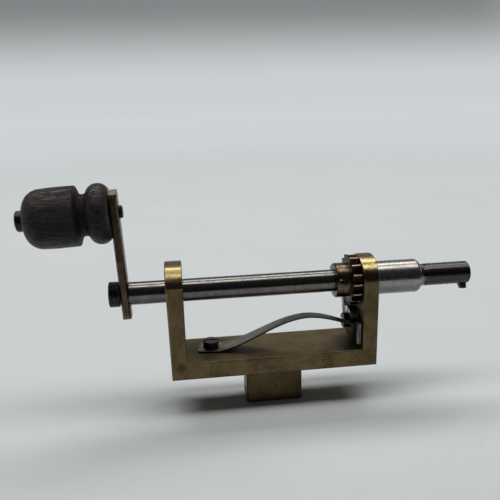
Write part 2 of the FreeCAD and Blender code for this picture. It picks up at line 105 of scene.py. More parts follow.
def skin(name, rings, joined_ends=False):
    """A closed skin over an array of rings, shape (steps, points around, 3). Each ring is joined
    to the next one point by point, and the last to the first or both closed by a flat cap."""
    steps, around, _ = rings.shape
    rows = steps if joined_ends else steps - 1
    step, turn = np.meshgrid(np.arange(rows), np.arange(around), indexing="ij")
    here, there = step * around, (step + 1) % steps * around
    following = (turn + 1) % around
    corners = [here + turn, there + turn, there + following, here + following]
    quads = np.stack(corners, axis=-1).reshape(-1, 4)
    places = rings.reshape(-1, 3)
    a, b, c, d = (places[quads[:, corner]] for corner in range(4))
    outward = np.sum(a * np.cross(b, c) + a * np.cross(c, d)) > 0
    faces = (quads if outward else quads[:, ::-1]).tolist()
    if not joined_ends:
        caps = [list(range(around)), list(range((steps - 1) * around, steps * around))[::-1]]
        faces += caps if outward else [cap[::-1] for cap in caps]
    mesh = bpy.data.meshes.new(name)
    mesh.from_pydata(places.tolist(), [], faces)
    mesh.update()
    piece = bpy.data.objects.new(name, mesh)
    bpy.context.scene.collection.objects.link(piece)
    return piece


def arc(start, middle, end, count):
    """Points along the circle through three places. Its centre lies as far from each of them."""
    places = np.array([start, middle, end], dtype=float)
    sides = 2 * (places[1:] - places[0])
    centre = np.linalg.solve(sides, np.sum(places[1:] ** 2, 1) - np.sum(places[0] ** 2))
    reach = places - centre
    turns = np.unwrap(np.arctan2(reach[:, 1], reach[:, 0]))
    turn = np.linspace(turns[0], turns[2], count)
    return centre + np.hypot(*reach[0]) * np.stack([np.cos(turn), np.sin(turn)], axis=-1)


# ---------------------------------------------------------------- node helpers


class Field:
    """A number that changes over a surface. Arithmetic on it adds Math nodes."""

    def __init__(self, nodes, socket):
        self.nodes = nodes
        self.socket = socket

    def math(self, operation, *values):
        return self.nodes.add("ShaderNodeMath", {"operation": operation}, values)

    def __add__(self, other):
        return self.math("ADD", self, other)

    __radd__ = __add__

    def __sub__(self, other):
        return self.math("SUBTRACT", self, other)

    def __rsub__(self, other):
        return self.math("SUBTRACT", other, self)

    def __mul__(self, other):
        return self.math("MULTIPLY", self, other)

    __rmul__ = __mul__

    def __abs__(self):
        return self.math("ABSOLUTE", self)

    def most(self, other):
        return self.math("MAXIMUM", self, other)

    def least(self, other):
        return self.math("MINIMUM", self, other)

    def rise(self, low, high):
        """0 below low, 1 above high, and a soft step between them."""
        return self.nodes.add(
            "ShaderNodeMapRange",
            {"interpolation_type": "SMOOTHSTEP"},
            {"Value": self, "From Min": low, "From Max": high},
        )

    def band(self, middle, half_width, softness):
        """1 within half_width of middle, and 0 beyond."""
        return 1 - abs(self - middle).rise(half_width - softness, half_width + softness)


class Nodes:
    """A node tree that is being filled, by one method for every kind of node."""

    def __init__(self, tree, shader):
        self.tree = tree
        self.shader = tree.nodes[shader]

    def feed(self, socket, value):
        self.tree.links.new(value.socket, self.shader.inputs[socket])

    def add(self, kind, settings, values, output=0):
        """A new node, its settings first and then its inputs, by name or number: a Field is
        linked, and anything else is set on the socket."""
        node = self.tree.nodes.new(kind)
        for setting, value in settings.items():
            setattr(node, setting, value)
        entries = values.items() if isinstance(values, dict) else enumerate(values)
        for socket, value in entries:
            if isinstance(value, Field):
                self.tree.links.new(value.socket, node.inputs[socket])
            else:
                node.inputs[socket].default_value = value
        return Field(self, node.outputs[output])

    def vector(self, operation, *values, output="Vector"):
        return self.add("ShaderNodeVectorMath", {"operation": operation}, values, output)

    def colours(self, mask, first, second):
        """The first colour where mask is 0, the second where it is 1."""
        sides = [side if isinstance(side, Field) else (*side, 1.0) for side in (first, second)]
        values = {0: mask, 6: sides[0], 7: sides[1]}
        return self.add("ShaderNodeMix", {"data_type": "RGBA"}, values, 2)

    def shade(self, colour, amount):
        """A colour made darker or lighter by a number that changes over the surface."""
        tone = self.add("ShaderNodeCombineXYZ", {}, [amount, amount, amount])
        values = {0: 1.0, 6: colour, 7: tone}
        return self.add("ShaderNodeMix", {"data_type": "RGBA", "blend_type": "MULTIPLY"}, values, 2)


class Finish(Nodes):
    """A material that is being mixed: one shader, and patterns placed in millimetres."""

    def __init__(self, name, **constants):
        self.material = bpy.data.materials.new(name)
        self.material.use_nodes = True
        super().__init__(self.material.node_tree, "Principled BSDF")
        for socket, value in constants.items():
            self.shader.inputs[socket.replace("_", " ")].default_value = value
        metres = self.add("ShaderNodeTexCoord", {}, {}, "Object")
        scaled = {"Vector": metres, "Scale": 1 / MM}
        self.place = self.add("ShaderNodeVectorMath", {"operation": "SCALE"}, scaled)
        self.x, self.y, self.z = (
            self.add("ShaderNodeSeparateXYZ", {}, [self.place], axis) for axis in "XYZ"
        )

    def stretched(self, stretch, turn=(0, 0, 0)):
        """The place, turned, then scaled along each axis."""
        values = {"Vector": self.place, "Rotation": turn}
        turned = self.add("ShaderNodeMapping", {"vector_type": "POINT"}, values)
        return self.vector("MULTIPLY", turned, stretch)

    def noise(self, scale, stretch=(1, 1, 1), turn=(0, 0, 0), detail=4, rough=0.6, warp=0.0):
        """Soft noise with about `scale` lumps in a millimetre along an unstretched axis."""
        values = {
            "Vector": self.stretched(stretch, turn),
            "Scale": scale,
            "Detail": detail,
            "Roughness": rough,
            "Distortion": warp,
        }
        return self.add("ShaderNodeTexNoise", {}, values, "Fac")

    def cells(self, scale, stretch=(1, 1, 1)):
        """Distance to the nearest of many scattered points."""
        values = {"Vector": self.stretched(stretch), "Scale": scale}
        return self.add("ShaderNodeTexVoronoi", {}, values, "Distance")

    def apart(self, centre):
        """Distance in millimetres from one place."""
        return self.vector("DISTANCE", self.place, centre, output="Value")

    def from_axis(self, height):
        """Distance in millimetres from a line along X at that height."""
        across = self.add("ShaderNodeCombineXYZ", {}, [0.0, self.y, self.z - height])
        return self.vector("LENGTH", across, output="Value")

    def from_line(self, point, direction):
        """Distance in millimetres from a line: the length of the cross product of the way to it
        and its direction."""
        away = self.vector("SUBTRACT", self.place, point)
        return self.vector("LENGTH", self.vector("CROSS_PRODUCT", away, direction), output="Value")

    def along_line(self, point, direction):
        """Distance in millimetres along a line from a point on it."""
        away = self.vector("SUBTRACT", self.place, point)
        return self.vector("DOT_PRODUCT", away, direction, output="Value")

    def facing(self, direction):
        """1 where the surface looks along a direction, either way, and 0 where it looks across."""
        normal = self.add("ShaderNodeTexCoord", {}, {}, "Normal")
        return abs(self.vector("DOT_PRODUCT", normal, direction, output="Value"))

    def relief(self, height, depth):
        """Bump from a height between 0 and 1 that stands for depth millimetres."""
        values = {"Strength": 1.0, "Distance": depth * MM, "Height": height}
        self.feed("Normal", self.add("ShaderNodeBump", {}, values))


# ---------------------------------------------------------------- finishes

BRASS_BRIGHT = (0.66, 0.51, 0.235)
BRASS_WORN = (0.158, 0.117, 0.058)
BRASS_AGED = (0.09, 0.065, 0.035)
BRASS_BROWN = (0.1, 0.075, 0.047)
BRASS_CROWN = (0.2, 0.15, 0.1)
BRASS_STAIN = (0.028, 0.021, 0.013)
STEEL_BRIGHT = (0.29, 0.275, 0.26)
STEEL_CLEAN = (0.37, 0.353, 0.335)
STEEL_DULL = (0.12, 0.114, 0.108)
STEEL_BROWN = (0.072, 0.065, 0.063)
STEEL_DARK = (0.03, 0.029, 0.031)
RUST = (0.05, 0.032, 0.022)
CLICK_FILED = (0.75, 0.74, 0.72)
LEAF_GREY = (0.35, 0.327, 0.298)
LEAF_TIRED = (0.16, 0.149, 0.135)
LEAF_FOOT_STAIN = (0.08, 0.067, 0.055)
BLACKED = (0.022, 0.0215, 0.0235)
BLACKED_RUBBED = (0.3, 0.27, 0.235)
BRONZE_BROWN = (0.16, 0.115, 0.078)
BRONZE_DARK = (0.07, 0.049, 0.033)
BRONZE_GOLD = (0.8, 0.66, 0.45)
CRANK_BROWN = (0.2, 0.15, 0.105)
CRANK_DARK = (0.12, 0.085, 0.062)
FILED_GOLD = (0.5, 0.41, 0.29)
HUB_BROWN = (0.15, 0.108, 0.076)
GRIME_AND_SHADE = (0.026, 0.014, 0.009)
WOOD_DARK = (0.006, 0.0045, 0.0045)
WOOD_RED = (0.042, 0.02, 0.0155)
WOOD_WORN = (0.06, 0.048, 0.041)
WOOD_CRACK_AND_SHADE = (0.002, 0.0017, 0.0017)
PAPER_COOL = (0.76, 0.805, 0.83)
PAPER_PALE = (0.82, 0.86, 0.88)
BACKDROP_PALE = (0.59, 0.628, 0.636)
BACKDROP_DARK = (0.22, 0.235, 0.24)
ROOM_LOW = (0.015, 0.015, 0.016)
ROOM_HIGH = (0.04, 0.04, 0.042)
LAMP_WHITE = (1.0, 0.985, 0.96)


def aged_brass():
    """Handled brass gone olive brown: bright on worn arch tops and edges, with pits and stains. On
    the arch tops the worn gold lies where the lamps' highlights fall, so it is partly a painted
    highlight. The base has painted light on its top, and painted shade on the tongue, towards its
    right end and in its inner corner.
    """
    brass = Finish("aged_brass", Metallic=1.0)
    cloud = brass.noise(0.11, detail=5, warp=0.6)
    mottle = brass.noise(0.9, detail=6, rough=0.7)
    file_marks = brass.noise(1.0, stretch=(0.06, 2.2, 2.2), detail=3)
    upright_marks = brass.noise(1.0, stretch=(2.2, 2.2, 0.08), detail=3)
    on_upright = brass.z.rise(BASE_TOP - 0.5, BASE_TOP + 0.5)
    marks = file_marks * (1 - on_upright) + upright_marks * on_upright

    # The round tops: a brown crown, and worn gold under it laid in the band where the lamps'
    # highlights fall, so it is partly a painted highlight. On the left, a thin painted highlight
    # line near the top and a thin rubbed line where the round starts.
    right = brass.x.rise(-1, 1)
    rim = brass.from_axis(AXIS_HEIGHT - 0.5).rise(HALF_DEPTH - 0.9, HALF_DEPTH - 0.35)
    over_start = brass.z - (ARCH_STARTS[0] - right * (ARCH_STARTS[0] - ARCH_STARTS[1]))
    below_top = ARCH_TOPS[0] - right * (ARCH_TOPS[0] - ARCH_TOPS[1]) - brass.z
    on_arch = rim * over_start.rise(-0.1, 0.5)
    gold = on_arch * below_top.band(2.1 - right * 0.6, 1.5, 0.6)
    worn_gold_and_highlight = gold * mottle.rise(0.3, 0.62) * (0.26 + right * 0.36)
    crown = on_arch * (1 - (below_top - right * 0.5).rise(0.3, 0.9))
    painted_highlight_line = on_arch * below_top.band(0.62, 0.16, 0.12) * (1 - right)
    crease = rim * over_start.band(0.5, 0.2, 0.15) * (1 - right) * mottle.rise(0.35, 0.6)

    # Corners, and the base's upper front edge, glint where they are rubbed.
    side = abs(brass.y).rise(HALF_DEPTH - 0.24, HALF_DEPTH - 0.06)
    end = abs(brass.x).rise(HALF_LENGTH - 0.24, HALF_LENGTH - 0.06)
    between_uprights = 1 - abs(brass.x).rise(INNER_FACE - 0.5, INNER_FACE - 0.1)
    base_edge = brass.z.band(BASE_TOP, 0.2, 0.1) * between_uprights
    glints = brass.noise(1.0, stretch=(0.35, 1.5, 0.35), detail=4).rise(0.5, 0.68)
    corner = (side * end * mottle.rise(0.42, 0.7)).most(side * base_edge * glints * 0.7)
    rubbed = (corner * 0.6).most((crease * 0.7).most(painted_highlight_line * 0.3))

    tarnish = (cloud * 0.7 + mottle * 0.3).rise(0.34, 0.66)
    on_top = brass.z.band(BASE_TOP, 0.12, 0.05) * (1 - side)
    tongue = 1 - brass.z.rise(BASE_UNDERSIDE - 1.2, BASE_UNDERSIDE - 1.0)
    # Painted shade: the tongue under the base, and the base's front and back faces towards the
    # right end, are darkened.
    shaded = tongue * 0.35 + side * brass.x.rise(5, 26) * (1 - on_upright) * 0.15
    colour = brass.colours(tarnish, BRASS_WORN, BRASS_AGED)
    # Painted light: the base's top is made lighter.
    colour = brass.shade(colour, 0.85 + marks * 0.68 + on_top * 0.15 - shaded)
    colour = brass.colours(crown * 0.8, colour, BRASS_CROWN)
    # Partly a painted highlight: worn gold brass in the band where the lamps reflect on the arch
    # tops.
    colour = brass.colours(worn_gold_and_highlight, colour, BRASS_BRIGHT)
    # Rubbed corners and edges, with the painted highlight line on the left arch.
    colour = brass.colours(rubbed, colour, BRASS_BRIGHT)

    specks = 1 - brass.cells(0.75).rise(0.05, 0.2)
    crown_pits = (1 - brass.cells(0.9).rise(0.08, 0.3)) * on_arch * right
    pits = specks * mottle.rise(0.5, 0.62)
    pits = pits.most(crown_pits * (1 - below_top.rise(2, 3)))
    for centre, size in FRONT_PITS:
        pits = pits.most(0.8 - (brass.apart(centre) + mottle * 0.5).rise(size, size + 0.4) * 0.8)
    stain = 1 - (brass.apart(FRONT_STAIN) + mottle * 1.4).rise(1.2, 2.6)
    oil_and_corner_shade = 1 - (brass.apart(OIL_UNDER_LEAF) * 0.09 + cloud).rise(0.95, 1.45)
    # Painted shade: the inner corner by the click and the right upright is darkened.
    oil_and_corner_shade = oil_and_corner_shade.most(1 - (brass.apart(CORNER_SHADE_PLACE) * 0.12 + cloud).rise(0.95, 1.5)) * on_top
    streaks = file_marks.rise(0.54, 0.66) * on_top * 0.45
    dirt_and_shade = pits.most(stain * 0.55).most(oil_and_corner_shade * 0.65).most(streaks)
    brass.feed("Base Color", brass.colours(dirt_and_shade, colour, BRASS_STAIN))

    smoother = on_arch * (0.12 + right * 0.08 + painted_highlight_line * 0.1)
    brass.feed("Roughness", 0.36 + tarnish * 0.12 + marks * 0.08 - smoother + pits * 0.3)
    brass.relief((marks + mottle) * 0.35 * (1 - on_arch * 0.75) - pits * 0.9 + 0.5, 0.02)
    return brass.material


def turned_steel():
    """Lathe-turned arbor steel: fine rings, long handling marks and spots of rust. The shoulder
    is cleaner and the nose is browned, with grime in the groove between them."""
    steel = Finish("turned_steel", Metallic=1.0)
    rings = steel.noise(1.0, stretch=(9, 0.25, 0.25), detail=3)
    long_marks = steel.noise(1.0, stretch=(0.08, 3.2, 3.2), detail=4)
    patches = steel.noise(0.35, detail=6, rough=0.7, warp=0.4)
    pecks = steel.noise(2.2, stretch=(1, 1.6, 1.6), detail=3)
    spots = 1 - steel.cells(0.8, stretch=(0.7, 1, 1)).rise(0.04, 0.2)
    spots = spots * patches.rise(0.5, 0.6)
    tired = (patches * 0.6 + long_marks * 0.4).rise(0.38, 0.66)

    shoulder = steel.x.rise(SHOULDER_START - 0.2, SHOULDER_START)
    shoulder = shoulder * (1 - steel.x.rise(SHOULDER_END + 0.1, SHOULDER_END + 1.1))
    neck = steel.x.band(GROOVE_START - 0.85, 0.8, 0.3)
    nose = steel.x.rise(NOSE_START - 0.6, NOSE_START + 0.6)
    groove = steel.x.band(GROOVE_START + 0.25, 0.16, 0.06)
    shaft = steel.colours(tired * 0.7, STEEL_BRIGHT, STEEL_DULL)
    clean = steel.colours(tired * 0.4, STEEL_CLEAN, STEEL_DULL)
    clean = steel.shade(clean, 0.35 + pecks * 1.3)
    browned = steel.colours(patches.rise(0.5, 0.85), STEEL_BROWN, STEEL_DULL)
    colour = steel.colours(shoulder, steel.shade(shaft, 0.5 + long_marks * 0.4), clean)
    colour = steel.colours(neck, colour, steel.shade(clean, 0.1 + rings * 1.3))
    colour = steel.colours(nose, colour, steel.shade(browned, 0.75 + pecks * 0.5))

    # Painted shade: the arbor's lower side is darkened.
    upper = steel.z.rise(AXIS_HEIGHT - 2.6, AXIS_HEIGHT + 0.4)
    colour = steel.shade(colour, 0.62 + upper * 0.38)
    dirt_and_shade = (spots * 0.8).most(groove)
    steel.feed("Base Color", steel.colours(dirt_and_shade, colour, steel.colours(groove, RUST, GRIME_AND_SHADE)))
    rough = 0.13 + tired * 0.1 + nose * 0.09 + shoulder * 0.05 + spots * 0.3 + rings * 0.05
    steel.feed("Roughness", rough)
    height = rings * 0.3 + long_marks * 0.3 + pecks * shoulder * 0.6 - spots * 0.5 + 0.5
    steel.relief(height, 0.005)
    return steel.material


def pin_steel():
    """The wheel pin: small dark steel, filed across its domed end."""
    steel = Finish("pin_steel", Metallic=1.0)
    strokes = steel.noise(1.0, stretch=(3, 0.7, 0.5), detail=3)
    rim = steel.from_line(WHEEL_PIN_PLACE, WHEEL_PIN_AXIS).rise(0.42, 0.6)
    steel.feed("Base Color", steel.colours(rim, STEEL_DARK, STEEL_CLEAN))
    steel.feed("Roughness", 0.16 + strokes * 0.1)
    steel.relief(strokes, 0.004)
    return steel.material


def click_steel():
    """The click: blacked sides, with its beak and the end of its tail filed bright."""
    steel = Finish("click_steel", Metallic=1.0)
    strokes = steel.noise(1.0, stretch=(5, 0.9, 0.2), detail=3)
    stripes = steel.noise(1.0, stretch=(3.4, 0.8, 0.15), detail=2).rise(0.42, 0.58)
    patches = steel.noise(0.6, detail=6, rough=0.7)
    left, right = CLICK_FACES
    flank = 1 - steel.x.rise(left + 0.02, left + 0.12)
    flank = flank.most(steel.x.rise(right - 0.1, right - 0.02))
    beak = steel.z.rise(*BEAK_HEIGHTS) * (0.12 + stripes)
    tail = 1 - steel.y.rise(*TAIL_DEPTHS)
    near_edge = 1 - steel.x.rise(left + 0.35, left + 0.6)
    tail = tail * (0.06 + near_edge * 0.4 + stripes * 0.16) * (0.3 + patches * 1.2)
    bright = (tail * (1 - flank)).most(beak * (1 - flank * 0.3)).least(1.0)
    colour = steel.colours(bright, STEEL_DARK, CLICK_FILED)
    steel.feed("Base Color", steel.shade(colour, 0.55 + strokes * 0.9))
    steel.feed("Roughness", 0.32 - bright * 0.1 + strokes * 0.12)
    steel.relief(strokes * 0.5 + stripes * 0.3 + patches * 0.2, 0.03)
    return steel.material


def wheel_bronze():
    """Bronze of the ratchet wheel: browned hub with its end face darkened as painted shade, red
    grime between the teeth that also covers the tooth backs and sides as painted shade, and gold on
    the flat tips of the teeth where the click has rubbed them."""
    metal = Finish("wheel_bronze", Metallic=1.0)
    patches = metal.noise(0.5, detail=6, rough=0.7, warp=0.3)
    fine = metal.noise(3.0, detail=4)
    turning = metal.noise(1.0, stretch=(7, 0.4, 0.4), detail=2)
    radius = metal.from_axis(AXIS_HEIGHT)
    wheel = metal.x.rise(WHEEL_FACE - 0.15, WHEEL_FACE + 0.1)
    wheel = wheel * radius.rise(HUB_RADIUS + 0.15, HUB_RADIUS + 0.45)
    # Partly grime, partly painted shade: all of the wheel below the tooth tips is darkened with the
    # grime colour.
    gaps = wheel * (1 - radius.rise(WHEEL_RADIUS - 0.5, WHEEL_RADIUS - 0.25))
    tips = wheel * radius.rise(WHEEL_RADIUS - 0.36, WHEEL_RADIUS - 0.2)
    tips = tips * (0.25 + fine.rise(0.2, 0.45) * 0.75)
    # Painted shade: the hub's end face is darkened.
    off_end = metal.x.rise(HUB_START + 0.02, HUB_START + 0.1)
    hub = metal.colours(patches.rise(0.4, 0.6), HUB_BROWN, BRONZE_DARK)
    hub = metal.shade(metal.shade(hub, 0.7 + turning * 0.7), 0.45 + off_end * 0.55)
    teeth = metal.colours(patches.rise(0.35, 0.65), BRONZE_BROWN, BRONZE_DARK)
    colour = metal.colours(gaps * 0.92, metal.colours(wheel, hub, teeth), GRIME_AND_SHADE)
    metal.feed("Base Color", metal.colours(tips, colour, BRONZE_GOLD))
    metal.feed("Roughness", 0.2 + patches * 0.16 + gaps * 0.3 + tips * 0.3)
    metal.relief(turning * 0.3 + fine * 0.3 + patches * 0.4, 0.012)
    return metal.material


def crank_bronze():
    """Bronze of the crank arm: brown, drawn along its length, with worn ends."""
    metal = Finish("crank_bronze", Metallic=1.0)
    patches = metal.noise(0.3, detail=6, rough=0.7, warp=0.3)
    drawn = metal.noise(1.0, stretch=(3, 2.2, 0.07), detail=4)
    filed = metal.noise(1.0, stretch=(3.5, 0.5, 0.5), detail=3)
    fine = metal.noise(2.4, detail=5)
    ends = metal.z.rise(*CRANK_TOP_HEIGHTS).most(1 - metal.z.rise(*CRANK_FOOT_HEIGHTS))
    colour = metal.colours(patches.rise(0.35, 0.65), CRANK_BROWN, CRANK_DARK)
    colour = metal.shade(colour, 0.5 + drawn)
    filed_end = metal.colours(fine.rise(0.45, 0.7), BRASS_BROWN, FILED_GOLD)
    colour = metal.colours(ends * 0.8, colour, metal.shade(filed_end, 0.25 + filed))
    metal.feed("Base Color", colour)
    metal.feed("Roughness", 0.36 + patches * 0.14)
    metal.relief(drawn * 0.5 + fine * 0.2 + patches * 0.3, 0.015)
    return metal.material


def black_steel(name, place, direction, radius):
    """Blacked screws and pins: near black, with a rim worn grey round the head and a brown top."""
    steel = Finish(name, Metallic=0.9, Specular_IOR_Level=0.5)
    patches = steel.noise(0.9, detail=6, rough=0.7)
    fine = steel.noise(3.5, detail=4)
    facing = steel.facing(direction)
    crown = facing.rise(0.75, 0.95)
    rim = steel.from_line(place, direction).rise(radius - 0.5, radius - 0.25)
    rim = rim * facing.rise(0.3, 0.5)
    worn = (patches * 0.6 + fine * 0.4).rise(0.5, 0.72)
    rubbed = (worn * 0.35).most(rim * (worn + 0.3)).most(crown * (0.25 + worn * 0.35))
    steel.feed("Base Color", steel.colours(rubbed, BLACKED, BLACKED_RUBBED))
    steel.feed("Roughness", 0.27 + fine * 0.16 - rim * 0.05 + crown * 0.12)
    steel.relief(fine * 0.5 + patches * 0.5, 0.012)
    return steel.material


def dark_wood():
    """Nearly black turned hardwood: long grain cracks and red patches, the upper side painted
    lighter and the lower side darker as painted light, and the neck painted dark as shade."""
    wood = Finish("dark_turned_wood", Specular_IOR_Level=0.3)
    lean = (0.0, -0.048, 0.0)
    grain = wood.noise(1.0, stretch=(0.1, 1.5, 1.5), turn=lean, detail=5, rough=0.7, warp=0.3)
    wander = wood.noise(1.0, stretch=(0.13, 1.0, 1.0), turn=lean, detail=5, rough=0.6, warp=0.8)
    cracks = 1 - abs(wander - 0.5).rise(0.0, 0.045)
    pores = wood.noise(1.0, stretch=(0.3, 4.0, 4.0), turn=lean, detail=2).rise(0.54, 0.66)
    red = wood.noise(0.16, stretch=(0.6, 1, 1), detail=3).rise(0.42, 0.6)
    # Painted shade: the neck between bead and barrel is darkened with the crack colour.
    neck = wood.along_line(KNOB_PLACE, KNOB_AXIS).band(7.9, 1.5, 0.9)
    colour = wood.colours(grain.rise(0.35, 0.66), WOOD_DARK, wood.colours(red, WOOD_WORN, WOOD_RED))
    colour = wood.colours(pores * 0.6, colour, WOOD_CRACK_AND_SHADE)
    colour = wood.colours((cracks * 0.9).most(neck * 0.85), colour, WOOD_CRACK_AND_SHADE)
    # Painted light: the knob is lighter above and darker below.
    painted_lit_top = wood.z.rise(KNOB_PLACE[2] - 5, KNOB_PLACE[2] + 7)
    wood.feed("Base Color", wood.shade(colour, 0.7 + painted_lit_top * 0.65))
    wood.feed("Roughness", 0.33 + pores * 0.2 + cracks * 0.2 + grain * 0.1 + neck * 0.2)
    wood.relief(grain * 0.25 - cracks * 0.6 - pores * 0.3 + 0.7, 0.3)
    return wood.material


def leaf_steel():
    """Tempered leaf: warm grey with fine strokes along the blade, and black edges, foot and tip."""
    leaf = Finish("leaf_spring_steel", Metallic=1.0)
    along = leaf.add("ShaderNodeUVMap", {"uv_map": "along_and_across"}, {})
    run = leaf.add("ShaderNodeSeparateXYZ", {}, [along], "X")
    lined = leaf.vector("MULTIPLY", along, (0.12, 6, 1))
    values = {"Vector": lined, "Scale": 1.0, "Detail": 4, "Roughness": 0.6}
    strokes = leaf.add("ShaderNodeTexNoise", {}, values, "Fac")
    patches = leaf.noise(0.35, detail=6, rough=0.7)
    upper = leaf.facing(UPWARDS).rise(0.3, 0.75)
    foot = 1 - run.rise(3.0, 9.0)
    tip = run.rise(35.0, 41.0)
    tired = (patches * 0.5 + strokes * 0.5).rise(0.36, 0.66)
    colour = leaf.colours(tired, LEAF_GREY, LEAF_TIRED)
    colour = leaf.colours(foot * patches.rise(0.4, 0.6) * 0.7, colour, LEAF_FOOT_STAIN)
    colour = leaf.colours((tip * 0.8).most(1 - upper), colour, STEEL_DARK)
    leaf.feed("Base Color", leaf.shade(colour, 0.6 + strokes * 0.8))
    leaf.feed("Roughness", 0.34 + tired * 0.12 + strokes * 0.06)
    leaf.relief(strokes * 0.6 + patches * 0.3, 0.01)
    return leaf.material


# ---------------------------------------------------------------- knob

# The profile's arcs, each by three places of distance along the pin and radius.
BEAD = ((0.1, 7.4), (3.4, 9.05), (6.4, 6.65))
NECK = ((6.5, 6.55), (7.5, 6.2), (8.6, 6.65))
BARREL_CORNER = ((9.35, 8.5), (9.45, 8.8), (9.8, 8.97))
BARREL_SHOULDER = ((14.0, 9.0), (16.5, 8.97), (19.2, 8.84))
BARREL_DOME = ((19.6, 8.825), (23.14, 7.265), (24.55, 3.6))
KNOB_ARCS = (BEAD, NECK, BARREL_CORNER, BARREL_SHOULDER, BARREL_DOME)
KNOB_ARC_POINTS = (33, 15, 8, 10, 30)
KNOB_CREST = BEAD[1][1] - 0.02
KNOB_RUN = (0.1, 24.6)
KNOB_TOP_RADIUS = 3.4
KNOB_BORE = 1.98


def knob():
    """A profile of distance along the pin and radius, turned about the pin: bead, neck, barrel
    and domed end. The hole for the pin closes it on the inside."""
    start, end = KNOB_RUN
    arcs = [arc(*places, count) for places, count in zip(KNOB_ARCS, KNOB_ARC_POINTS)]
    arcs.append(np.array([[end, KNOB_TOP_RADIUS], [end, KNOB_BORE], [start, KNOB_BORE]]))
    along, radius = np.concatenate(arcs).T
    radius = np.minimum(radius, KNOB_CREST)
    turn = np.linspace(0, 2 * np.pi, 128, endpoint=False)
    outward = np.array(KNOB_AXIS)
    up = np.array([0.0, 0.0, 1.0])
    up = up - outward * (up @ outward)
    up /= np.linalg.norm(up)
    level = np.cross(outward, up)
    spoke = np.cos(turn)[:, None] * up + np.sin(turn)[:, None] * level
    centre = np.array(KNOB_PLACE) + along[:, None] * outward
    rings = centre[:, None] + radius[:, None, None] * spoke
    piece = skin("turned_knob", rings * MM, joined_ends=True)
    piece.data.polygons.foreach_set("use_smooth", np.ones(len(piece.data.polygons), dtype=bool))
    return piece


# ---------------------------------------------------------------- leaf spring

# Plan places, widths, runs along the leaf from its screw, and heights over the base. An end's
# rounding is given by its reach and its narrowest share of the width.
LEAF_SCREW = np.array([-19.4, 0.4])
LEAF_TIP = np.array([25.9, -6.2])
LEAF_THICKNESS = 0.55
LEAF_FOOT_BEHIND = 3.8
LEAF_FOOT_AHEAD = 2.8
LEAF_FOOT_WIDTH = 6.8
LEAF_TIP_WIDTH = 1.7
LEAF_FOOT_SLOPE = 0.19
LEAF_TIP_SLOPE = -0.18
LEAF_CREST = (31.3, 10.5)
LEAF_TIP_HEIGHT = 7.44
LEAF_FOOT_END = (0.8, 0.86)
LEAF_TIP_END = (1.0, 0.45)
LEAF_BROKEN_EDGE = 0.12
LEAF_SIDE_BULGE = 0.1


def leaf_height(run):
    """Height of the leaf's underside over the base: flat on the foot, then two cubics that share
    height, slope and curvature at the crest."""
    length = np.hypot(*(LEAF_TIP - LEAF_SCREW))
    knots = np.array([LEAF_FOOT_AHEAD, LEAF_CREST[0], length])
    heights = np.array([0.0, LEAF_CREST[1], LEAF_TIP_HEIGHT])
    first, second = np.diff(knots)
    rises = np.diff(heights)
    crest_slope = 3 * (rises[0] / first**2 + rises[1] / second**2)
    crest_slope -= LEAF_FOOT_SLOPE / first + LEAF_TIP_SLOPE / second
    crest_slope /= 2 * (1 / first + 1 / second)
    slopes = np.array([LEAF_FOOT_SLOPE, crest_slope, LEAF_TIP_SLOPE])
    piece = np.clip(np.searchsorted(knots, run, side="right") - 1, 0, 1)
    width = np.where(piece == 0, first, second)
    share = np.clip((run - knots[piece]) / width, 0, 1)
    low, high = heights[piece], heights[piece + 1]
    leave, arrive = slopes[piece] * width, slopes[piece + 1] * width
    height = low * (1 + 2 * share) * (1 - share) ** 2 + leave * share * (1 - share) ** 2
    height += high * share**2 * (3 - 2 * share) + arrive * share**2 * (share - 1)
    return np.where(run < LEAF_FOOT_AHEAD, 0.0, height)


def rounded(way, end):
    """Share of the full width at a way from an end: the end is a quarter of an ellipse of a given
    reach, laid on the narrowest share."""
    reach, narrowest = end
    share = np.clip(way / reach, 0, 1)
    return narrowest + (1 - narrowest) * np.sqrt(share * (2 - share))


def leaf_spring():
    """The leaf as a tapering bar: its section, a flat oblong with softly broken edges, is
    carried along the run, standing square to the leaf's own slope."""
    length = np.hypot(*(LEAF_TIP - LEAF_SCREW))
    foot_run = np.linspace(-LEAF_FOOT_BEHIND, LEAF_FOOT_AHEAD, 14)[:-1]
    run = np.concatenate([foot_run, np.linspace(LEAF_FOOT_AHEAD, length, 90)])
    taper = np.clip((run - LEAF_FOOT_AHEAD) / (length - LEAF_FOOT_AHEAD), 0, 1)
    half_width = (LEAF_FOOT_WIDTH + (LEAF_TIP_WIDTH - LEAF_FOOT_WIDTH) * taper) / 2
    half_width *= rounded(run + LEAF_FOOT_BEHIND, LEAF_FOOT_END)
    half_width *= rounded(length - run, LEAF_TIP_END)
    height = leaf_height(run)
    slope = np.gradient(height, run)
    slope[run < LEAF_FOOT_AHEAD] = 0.0
    steep = np.sqrt(1 + slope**2)
    inner = 1 - LEAF_BROKEN_EDGE
    across = np.array([-1, -1, -inner, inner, 1, 1, inner, -inner])
    up = np.array([0.25, 0.75, 1, 1, 0.75, 0.25, 0, 0]) * LEAF_THICKNESS
    inset = np.array([0, 0, -1, -1, 0, 0, -1, -1]) * LEAF_SIDE_BULGE
    side = np.sign(across) * (half_width[:, None] + inset)
    lift = height[:, None] + up / steep[:, None]
    ahead = run[:, None] - up * (slope / steep)[:, None]
    direction = (LEAF_TIP - LEAF_SCREW) / length
    square = np.array([-direction[1], direction[0]])
    plan = LEAF_SCREW + ahead[..., None] * direction + side[..., None] * square
    rings = np.concatenate([plan, (lift + BASE_TOP)[..., None]], axis=-1) * MM
    piece = skin("leaf_spring_blade", rings)
    add_leaf_uv(piece, direction, square)
    return piece


